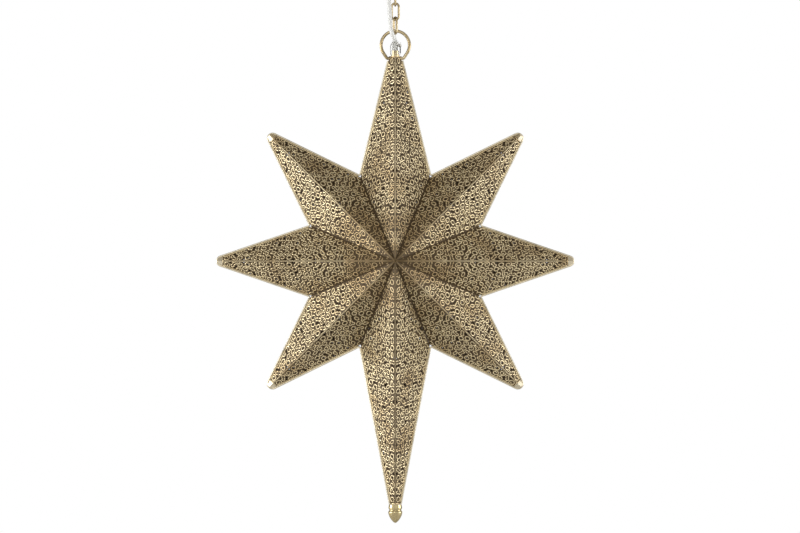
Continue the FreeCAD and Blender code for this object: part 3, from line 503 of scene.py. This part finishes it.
class Relief:
    """Gathers the vertices and faces of one facet, and how dark each vertex is coloured: deeper in the
    relief is browner, which is patina with painted shade, and painted shade darkens it towards the star's
    centre.
    """

    def __init__(self, facet):
        self.facet, self.verts, self.faces, self.depth = facet, [], [], []

    def add(self, s, h, out, depth):
        centre_shade, centre_shade_r = 0.3, 0.11  # painted shade: darker towards the star's centre, where the points close round it
        self.verts.append(self.facet.point(s, h, out))
        self.depth.append(depth + centre_shade * max(0.0, 1 - math.hypot(s, h) / centre_shade_r))
        return len(self.verts) - 1

    def ribbon(self, path, section):
        """A bar along a path; section is its outline as (side, out, depth in the relief)."""
        rings = []
        for n, (s, h) in enumerate(path):
            s0, h0 = path[max(n - 1, 0)]
            s1, h1 = path[min(n + 1, len(path) - 1)]
            run = math.hypot(s1 - s0, h1 - h0) or 1.0
            nx, ny = -(h1 - h0) / run, (s1 - s0) / run
            rings.append([self.add(s + nx * side, h + ny * side, out, low) for side, out, low in section])
        wide = len(section)
        for a, b in zip(rings, rings[1:]):
            self.faces += [(a[k], b[k], b[(k + 1) % wide], a[(k + 1) % wide]) for k in range(wide)]
        self.faces += [tuple(rings[0]), tuple(reversed(rings[-1]))]

    def web(self, paths):
        """The thin ground under the strokes, open where no stroke is near. It closes most piercings and is
        coloured darkest: brown patina, with painted shade standing in for the shaded openings.
        """
        points = [place for path in paths for place in path]
        tree = kdtree.KDTree(len(points))
        for n, (s, h) in enumerate(points):
            tree.insert((s, h, 0), n)
        tree.balance()
        facet, step = self.facet, 0.00085
        end_gap, blind_r, blind_gain = 0.0002, 0.06, 0.04
        columns = int((facet.last + 0.003) / step) + 2
        rows = int((facet.corner[1] + fold_lap) / step) + 2

        def level(i, j):
            """Over zero in the open, under zero in the metal."""
            s, h = i * step, j * step
            ridge, valley, rim, end, clear = facet.distances(s, h)
            edge = max(-fold_lap - valley, rim_seat - rim, end_gap - end, -clear)
            if edge > step:
                return edge
            if min(ridge - ridge_border, valley - valley_border, rim - rim_border, end - end_border) < 0:
                return edge
            # openings get smaller towards the star's centre
            blind = blind_gain * max(0.0, blind_r - math.hypot(s, h))
            return max(edge, tree.find((s, h, 0))[2] - facet.opening_room - blind)

        levels = [[level(i, j) for j in range(rows)] for i in range(columns)]
        made = {}

        def vertex(key, s, h):
            """The top and bottom vertex at a place, made once."""
            if key not in made:
                # the ground takes the darkest colour: brown patina and painted shade
                made[key] = (self.add(s, h, web_top, 1.0), self.add(s, h, -sheet_t, 1.0))
            return made[key]

        for i in range(columns - 1):
            for j in range(rows - 1):
                ring = [(i, j), (i + 1, j), (i + 1, j + 1), (i, j + 1)]
                values = [levels[a][b] for a, b in ring]
                if min(values) >= 0:
                    continue
                outline, crossings = [], []
                for n in range(4):
                    (a, b), (c, d) = ring[n], ring[(n + 1) % 4]
                    va, vb = values[n], values[(n + 1) % 4]
                    if va < 0:
                        outline.append(vertex((a, b), a * step, b * step))
                    if (va < 0) != (vb < 0):
                        t = va / (va - vb)
                        key = (min(a, c), min(b, d), a == c)
                        cross = vertex(key, (a + (c - a) * t) * step, (b + (d - b) * t) * step)
                        outline.append(cross)
                        crossings.append((cross, va < 0))
                if len(outline) < 3:
                    continue
                self.faces += [tuple(v[0] for v in outline), tuple(v[1] for v in reversed(outline))]
                if len(crossings) == 2:
                    (one, leaving), (two, _) = crossings
                    a, b = (one, two) if leaving else (two, one)
                    self.faces.append((b[0], a[0], a[1], b[1]))


def straight(a, b, step=0.004):
    count = max(2, int(math.dist(a, b) / step))
    return [(a[0] + (b[0] - a[0]) * k / count, a[1] + (b[1] - a[1]) * k / count) for k in range(count + 1)]


def add_strokes(relief, paths):
    """The raised scrolls, in three widths, and in four heights so that crossing tops don't lie level."""
    stroke_w, height_step, shoulder_drop = 0.00125, 0.00003, 0.0001
    for n, path in enumerate(paths):
        w, top = stroke_w * (0.9 + 0.1 * (n % 3)) / 2, -height_step * (n % 4)
        shoulder = top - shoulder_drop
        relief.ribbon(path, [(-w, web_top, 1.0), (-0.8 * w, shoulder, 0.12), (0, top, 0.0),
                             (0.8 * w, shoulder, 0.12), (w, web_top, 1.0)])


def add_rim_border(relief):
    """The plain border beside the rim wire, from the inner corner to the cut end."""
    facet, first, step, pivot_gap = relief.facet, 0.002, 0.002, 0.001
    cs, ch = facet.corner
    rim_run = math.hypot(facet.length - cs, ch)
    rs, rh = (facet.length - cs) / rim_run, -ch / rim_run

    def kept(place):
        *_, end, clear = facet.distances(*place)
        return end > 0 and clear > pivot_gap

    section = [(-rim_border, web_top, 0.7), (-0.0025, border_top, 0.05),
               (-0.0015, border_top, 0.05), (-rim_seat, web_top, 0.5)]
    for part in inside_parts(straight((cs + rs * first, ch + rh * first), (facet.length, 0), step), kept):
        relief.ribbon(part, section)


def add_end_border(relief):
    """The plain border along the cut end."""
    facet, end_lap, rim_gap, ridge_gap, step = relief.facet, 0.0001, 0.0016, 0.0003, 0.002
    cs, ch = facet.corner
    slant = -facet.across.x / facet.along.x
    end_h = (facet.length - facet.last) * ch / (facet.length - cs + slant * ch) - rim_gap
    first_s = facet.last - end_lap
    relief.ribbon(straight((first_s, ridge_gap), (first_s + slant * end_h, end_h), step),
                  [(0, web_top, 0.6), (0, border_top, 0.15),
                   (0.0010, border_top, 0.15), (0.0011, web_top, 0.6)])


def facet_relief(facet):
    """Scrolls, ground and plain borders of one facet."""
    relief, paths = Relief(facet), facet_paths(facet)
    add_strokes(relief, paths)
    relief.web(paths)
    add_rim_border(relief)
    add_end_border(relief)
    return relief


def ridge_bead(facet):
    """The rounded fold between a facet and its mirror image: places and faces."""
    half = [(0.0012, web_top), (0.00112, -0.0002), (0.00085, -0.00008)]  # across, out
    crown_drop, shoulder = 0.00052, 0.2
    first_s, end_lap = 0.001, 0.0001
    top = Vector((facet.outward.x, facet.outward.y, 0)).normalized() * -crown_drop
    verts, faces = [], []
    for s, _ in straight((first_s, 0), (facet.last - end_lap, 0)):
        side, crown = [facet.point(s, h, out) for h, out in half], facet.point(s, 0) + top
        side.append(side[-1].lerp(crown, shoulder))
        verts += side + [crown] + [Vector((v.x, v.y, -v.z)) for v in side[::-1]]
    wide = 2 * len(half) + 3
    for n in range(len(verts) // wide - 1):
        here, there = n * wide, (n + 1) * wide
        faces += [(here + k, there + k, there + k + 1, here + k + 1) for k in range(wide - 1)]
    return verts, faces


def pierced_brass(tree, shader):
    """Bright on the raised scrolls, brown in the hollows as patina with painted shade, painted shade
    towards the star's centre, clouded over each sheet.
    """
    low = add_node(tree, "ShaderNodeAttribute", attribute_name="recess_and_shade").outputs["Fac"]
    cloud, fine = noise(tree, 28, 4), noise(tree, 900)
    wear_and_shade = calculate(tree, "ADD", low, calculate(tree, "SUBTRACT", cloud, 0.5))
    # dark brown in the hollows and on the ground is patina and painted shade; the centre's painted shade
    # comes in the same factor
    feed(tree, shader, "Base Color", wear_and_shade, (0.05, (0.85, 0.72, 0.46)), (0.25, (0.65, 0.49, 0.27)),
         (0.55, (0.19, 0.125, 0.052)), (0.9, (0.085, 0.055, 0.023)))
    feed(tree, shader, "Roughness", wear_and_shade, (0.0, grey(0.30)), (0.8, grey(0.55)))
    feed(tree, shader, "Metallic", wear_and_shade, (0.35, grey(1.0)), (0.75, grey(0.3)))
    bump(tree, shader, fine)


scrollwork = finish_material("pierced_brass", pierced_brass)
short_apex, top_apex, bottom_apex = 0.2394, 0.2923, 0.3462
nose_end, head_end, foot_end = 0.2194, 0.25997, 0.3085  # where the sheets stop
pivot_height = 0.25741  # the ring's ends, over the star's centre
reliefs = {}
for side, seed, opening in (("front", 3, 0.00195), ("back", 41, 0.0024)):
    reliefs["short", side] = facet_relief(Facet(short_apex, nose_end, seed, None, opening))
    reliefs["top", side] = facet_relief(Facet(top_apex, head_end, seed + 2, pivot_height, opening))
    reliefs["bottom", side] = facet_relief(Facet(bottom_apex, foot_end, seed + 5, None, opening))
point_names = {0: "right", 45: "upper_right", 90: "top", 135: "upper_left",
               180: "left", 225: "lower_left", 270: "bottom", 315: "lower_right"}


def point_piece(name, angle, back):
    """A folded sheet: a facet and its mirror image, turned to its place in the star."""
    relief = reliefs[{90: "top", 270: "bottom"}.get(angle, "short"), "back" if back else "front"]
    upside = Matrix.Diagonal((1, 1, -1, 1))
    place = Matrix.Translation(star_centre) @ Matrix.Rotation(-math.radians(angle), 4, "Y")
    if back:
        place = place @ Matrix.Diagonal((1, -1, 1, 1))
    all_verts = [place @ v for v in relief.verts] + [place @ upside @ v for v in relief.verts]
    # a mirrored half has its faces turned over
    count = len(relief.verts)
    upper = [f[::-1] for f in relief.faces] if back else relief.faces
    lower = [tuple(count + k for k in (f if back else f[::-1])) for f in relief.faces]
    bead, bead_faces = ridge_bead(relief.facet)
    bead_faces = [tuple(2 * count + k for k in (f[::-1] if back else f)) for f in bead_faces]
    piece = smooth_piece(name, all_verts + [place @ v for v in bead], upper + lower + bead_faces)
    mark = piece.data.attributes.new("recess_and_shade", "FLOAT", "POINT")
    # painted shade: the ridge bead is also coloured darker towards the star's centre
    fold_depth, centre_shade, centre_shade_r = 0.08, 0.3, 0.09
    bead_depth = [fold_depth + centre_shade * max(0.0, 1 - (v - peak).length / centre_shade_r) for v in bead]
    mark.data.foreach_set("value", relief.depth * 2 + bead_depth)
    piece.data.materials.append(scrollwork)
    return piece


for angle, name in point_names.items():
    for back in (False, True):
        door = back and angle == 0
        node = "access_door" if door else f"{'back' if back else 'front'}_sheet_{name}"
        piece_name = "door_scrollwork" if door else node.replace("sheet", "scrollwork")
        piece = point_piece(piece_name, angle, back)
        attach(piece, "door" if door else "star")
        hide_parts(node)

# --- rim, foot and finial -------------------------------------------------------------------------
# Round brass wire soldered all round the outline, with solid rounded tips on the six short points, and
# the turned finial on a stud in the cast foot.


def bare_brass(light, rough):
    """Bare brass, gone a little grey, with brown left in its low spots."""
    def build(tree, shader):
        cloud, fine = noise(tree, 60, 5), noise(tree, 700, 4)
        mid, low = [0.78 * c for c in light], [0.28 * c for c in light]
        feed(tree, shader, "Base Color", calculate(tree, "MULTIPLY", cloud, fine),
             (0.08, low), (0.17, mid), (0.30, light))
        feed(tree, shader, "Roughness", cloud, (0.3, grey(rough)), (0.7, grey(1.4 * rough)))
        shader.inputs["Metallic"].default_value = 1.0
        bump(tree, shader, fine)
    return build


dress(finish_material("rim_brass", bare_brass((0.72, 0.64, 0.48), 0.22)), "rim_frame")
dress(finish_material("turned_brass", bare_brass((0.56, 0.46, 0.25), 0.12)), "star_foot", "finial")
dress(steel, "finial_stud")

# --- lampholder and bulb --------------------------------------------------------------------------
# Small black moulded lampholder on the lower end of the stem, with a threaded brass sleeve, a sprung
# contact and an opal round bulb.
dress(moulded("black_holder", grey(0.01), grey(0.025)), "lampholder_cap", "lampholder_shell")
dress(rubbed, "lampholder_sleeve", "lampholder_contact", "bulb_cap")


def opal_glass(tree, shader):
    feed(tree, shader, "Base Color", noise(tree, 60), (0.3, (0.86, 0.85, 0.82)), (0.7, (0.92, 0.91, 0.88)))
    shader.inputs["Roughness"].default_value = 0.25
    shader.inputs["Subsurface Weight"].default_value = 0.3
    shader.inputs["Subsurface Radius"].default_value = grey(0.01)


dress(finish_material("opal_glass", opal_glass), "bulb_glass")

# --- access door ----------------------------------------------------------------------------------
# The back sheet of the right point opens on two small butt hinges for the bulb, with a turned knob to
# hold. Its scrollwork is made with the other sheets, above.
dress(rubbed, "door_knob", "door_hinge_moving", "door_hinge_fixed")
dress(steel, "door_hinge_pins")
